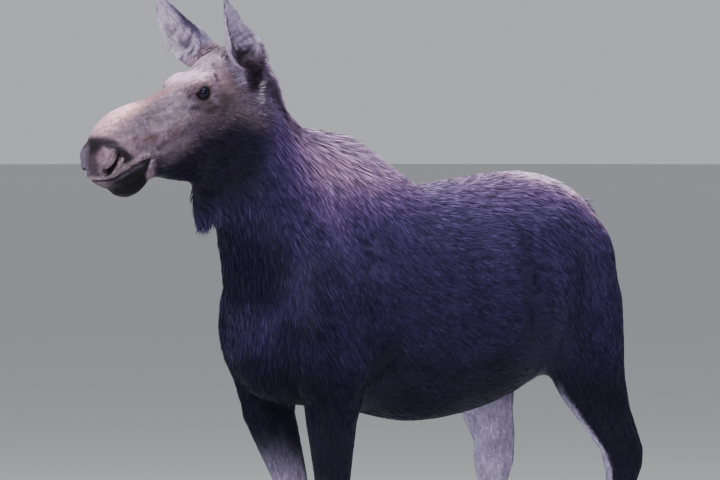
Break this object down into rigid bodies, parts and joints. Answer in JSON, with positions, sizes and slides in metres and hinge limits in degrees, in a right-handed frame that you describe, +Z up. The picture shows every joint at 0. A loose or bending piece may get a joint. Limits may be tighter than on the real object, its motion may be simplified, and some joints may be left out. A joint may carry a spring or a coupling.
{
  "type": "moose",
  "caption": "Life-size cow moose standing still with her head raised and ears up, near black with a grizzled back and hump.",
  "frame": {"origin": "the point of the ground under the middle of the bounding box", "axes": "+Z up, -Y the way she faces, +X her left side"},
  "size_m": [0.6292, 2.0422, 2.1662],
  "materials": {
    "coat": "hair, near black brown, grizzled along the back, tan brown on the face, pale grey on the shanks",
    "hoof": "dull dark horn",
    "eye": "wet, dark brown"
  },
  "bodies": {
    "root": {"barrel": "coat", "bell": "coat", "chest": "coat", "head": "coat", "hindquarters": "coat", "left_ear": "coat", "left_eye": "eye", "left_fore_cannon": "coat", "left_fore_inner_claw": "hoof", "left_fore_inner_dewclaw": "hoof", "left_fore_outer_claw": "hoof", "left_fore_outer_dewclaw": "hoof", "left_fore_pastern": "coat", "left_fore_upper": "coat", "left_hind_cannon": "coat", "left_hind_inner_claw": "hoof", "left_hind_inner_dewclaw": "hoof", "left_hind_outer_claw": "hoof", "left_hind_outer_dewclaw": "hoof", "left_hind_pastern": "coat", "left_hind_upper": "coat", "lower_jaw": "coat", "neck": "coat", "right_ear": "coat", "right_eye": "eye", "right_fore_cannon": "coat", "right_fore_inner_claw": "hoof", "right_fore_inner_dewclaw": "hoof", "right_fore_outer_claw": "hoof", "right_fore_outer_dewclaw": "hoof", "right_fore_pastern": "coat", "right_fore_upper": "coat", "right_hind_cannon": "coat", "right_hind_inner_claw": "hoof", "right_hind_inner_dewclaw": "hoof", "right_hind_outer_claw": "hoof", "right_hind_outer_dewclaw": "hoof", "right_hind_pastern": "coat", "right_hind_upper": "coat", "tail": "coat"}
  },
  "joints": []
}
